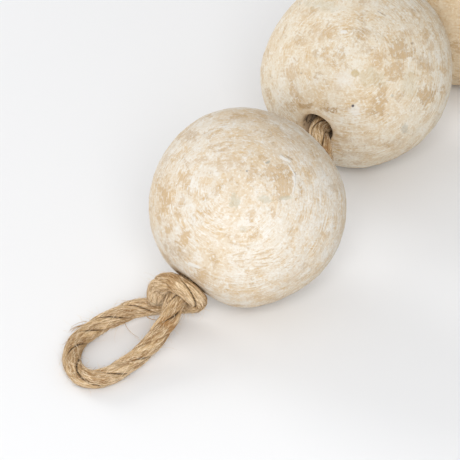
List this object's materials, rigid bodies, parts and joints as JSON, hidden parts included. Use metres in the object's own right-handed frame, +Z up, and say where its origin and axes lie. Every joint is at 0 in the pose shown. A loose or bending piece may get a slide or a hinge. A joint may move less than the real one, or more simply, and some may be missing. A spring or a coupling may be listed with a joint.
{
  "type": "papier-mache ball garland",
  "caption": "Garland of whitewashed papier-mache balls threaded on a twisted jute rope, with a knotted hanging loop at each end.",
  "frame": {"origin": "on the surface it rests on, under the middle of the garland's bounding box", "axes": "+X runs along the garland, away from the loop shown in the picture; +Z is up"},
  "size_m": [0.6738, 0.1185, 0.1024],
  "materials": {
    "papier_mache": "matt whitewash",
    "jute": "coarse twisted fibre"
  },
  "bodies": {
    "root": {"ball_1": "papier_mache", "ball_2": "papier_mache", "ball_3": "papier_mache", "ball_4": "papier_mache", "ball_5": "papier_mache", "rope": "jute"}
  },
  "joints": []
}
